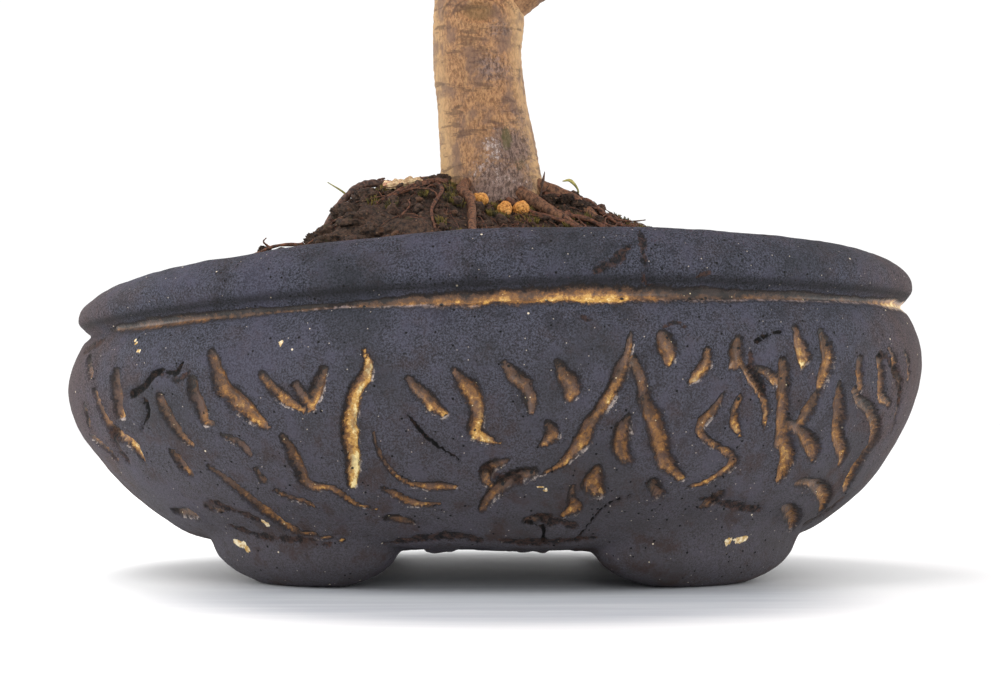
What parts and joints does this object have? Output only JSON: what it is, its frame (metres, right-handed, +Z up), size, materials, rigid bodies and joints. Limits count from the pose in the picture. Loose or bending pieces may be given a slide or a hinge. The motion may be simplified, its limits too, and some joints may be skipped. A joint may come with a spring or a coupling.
{
  "type": "japanese maple bonsai in a footed pot",
  "caption": "Small red-leaved maple tree with a curved trunk and spreading boughs, rooted in a soil mound in a dark oval footed pot with a glazed groove under its rim.",
  "frame": {"origin": "bottom centre of the bounding box of the whole tree and pot, in the plane that the feet stand on", "axes": "+Z up along the trunk, +X along the pot's long side to the viewer's right, +Y from the pot's front to its back"},
  "size_m": [0.341, 0.3118, 0.4534],
  "materials": {
    "stoneware": "matte",
    "screen_plastic": "matte",
    "wire": "satin",
    "soil": "matte",
    "root": "matte",
    "straw_chip": "matte",
    "green_shoot": "satin",
    "feed_pellet": "matte",
    "bark": "matte",
    "red_leaf": "satin"
  },
  "bodies": {
    "root": {"pot": "stoneware", "drain_screen_left": "screen_plastic", "drain_screen_right": "screen_plastic", "screen_wire_left": "wire", "screen_wire_right": "wire", "soil": "soil", "surface_root_loop": "root", "bark_chip": "straw_chip", "grass_blade": "green_shoot", "seedling": "green_shoot", "dry_sprig": "root", "feed_pellet_1": "feed_pellet", "feed_pellet_2": "feed_pellet", "feed_pellet_3": "feed_pellet", "trunk_and_boughs": "bark", "leaf_spray_01": "red_leaf", "leaf_spray_02": "red_leaf", "leaf_spray_03": "red_leaf", "leaf_spray_04": "red_leaf", "leaf_spray_05": "red_leaf", "leaf_spray_06": "red_leaf", "leaf_spray_07": "red_leaf", "leaf_spray_08": "red_leaf", "leaf_spray_09": "red_leaf", "leaf_spray_10": "red_leaf", "leaf_spray_11": "red_leaf", "leaf_spray_12": "red_leaf", "leaf_spray_13": "red_leaf", "leaf_spray_14": "red_leaf", "leaf_spray_15": "red_leaf", "leaf_spray_16": "red_leaf", "leaf_spray_17": "red_leaf", "leaf_spray_18": "red_leaf", "leaf_spray_19": "red_leaf", "leaf_spray_20": "red_leaf", "leaf_spray_21": "red_leaf", "leaf_spray_22": "red_leaf", "leaf_spray_23": "red_leaf", "leaf_spray_24": "red_leaf", "leaf_spray_25": "red_leaf", "leaf_spray_26": "red_leaf", "leaf_spray_27": "red_leaf", "leaf_spray_28": "red_leaf"}
  },
  "joints": []
}
